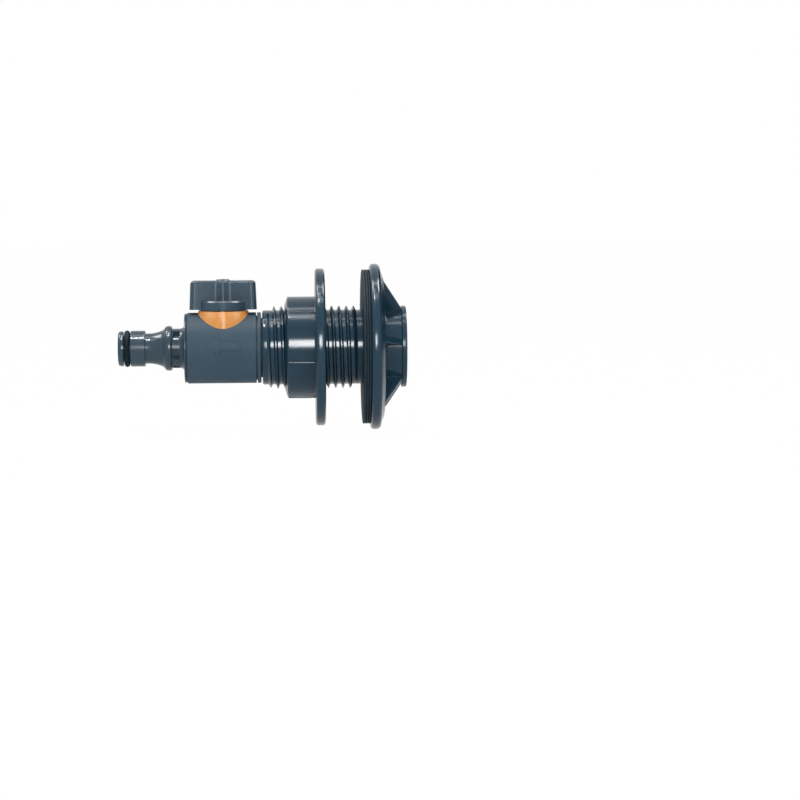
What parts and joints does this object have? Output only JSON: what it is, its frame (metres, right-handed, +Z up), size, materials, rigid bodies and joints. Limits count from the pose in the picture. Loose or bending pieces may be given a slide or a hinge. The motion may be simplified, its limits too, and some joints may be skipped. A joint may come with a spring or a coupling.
{
  "type": "water butt tap",
  "caption": "Quarter-turn plug tap for a water butt, with a quick-connector nipple, a wing handle and a flanged tank connector clamped through the wall by a flange nut.",
  "frame": {"origin": "on the pipe axis, in the sealing face of the tank gasket, where the inside of the tank wall sits", "axes": "+X along the pipe into the tank, -X to the outlet nipple, +Z up along the stem to the handle"},
  "size_m": [0.1275, 0.0736, 0.0736],
  "materials": {
    "grey_plastic": "satin",
    "dark_plastic": "gloss",
    "orange_plastic": "satin",
    "seal_rubber": "matt",
    "plug_plastic": "satin",
    "screw_steel": "plated"
  },
  "bodies": {
    "tap_body": {"tank_connector": "dark_plastic", "tank_gasket": "seal_rubber", "valve_body": "grey_plastic", "outlet_nipple": "grey_plastic", "gland_collar": "orange_plastic", "nipple_o_ring": "seal_rubber", "nipple_joint_seal": "seal_rubber", "inlet_seal": "seal_rubber", "inlet_port_seal": "seal_rubber", "outlet_port_seal": "seal_rubber"},
    "handle_assembly": {"handle": "grey_plastic", "handle_screw": "screw_steel", "valve_plug": "plug_plastic", "plug_o_ring": "seal_rubber", "thrust_washer": "plug_plastic"},
    "clamp_nut": {"flange_nut": "dark_plastic"}
  },
  "joints": [
    {"name": "handle_turn", "type": "hinge", "parent": "tap_body", "child": "handle_assembly", "pos_m": [-0.0614, 0, 0], "axis": [0, 0, 1], "range_deg": [-90, 0]},
    {"name": "nut_travel", "type": "slide", "parent": "tap_body", "child": "clamp_nut", "axis": [1, 0, 0], "range_m": [-0.009, 0.0155]}
  ]
}
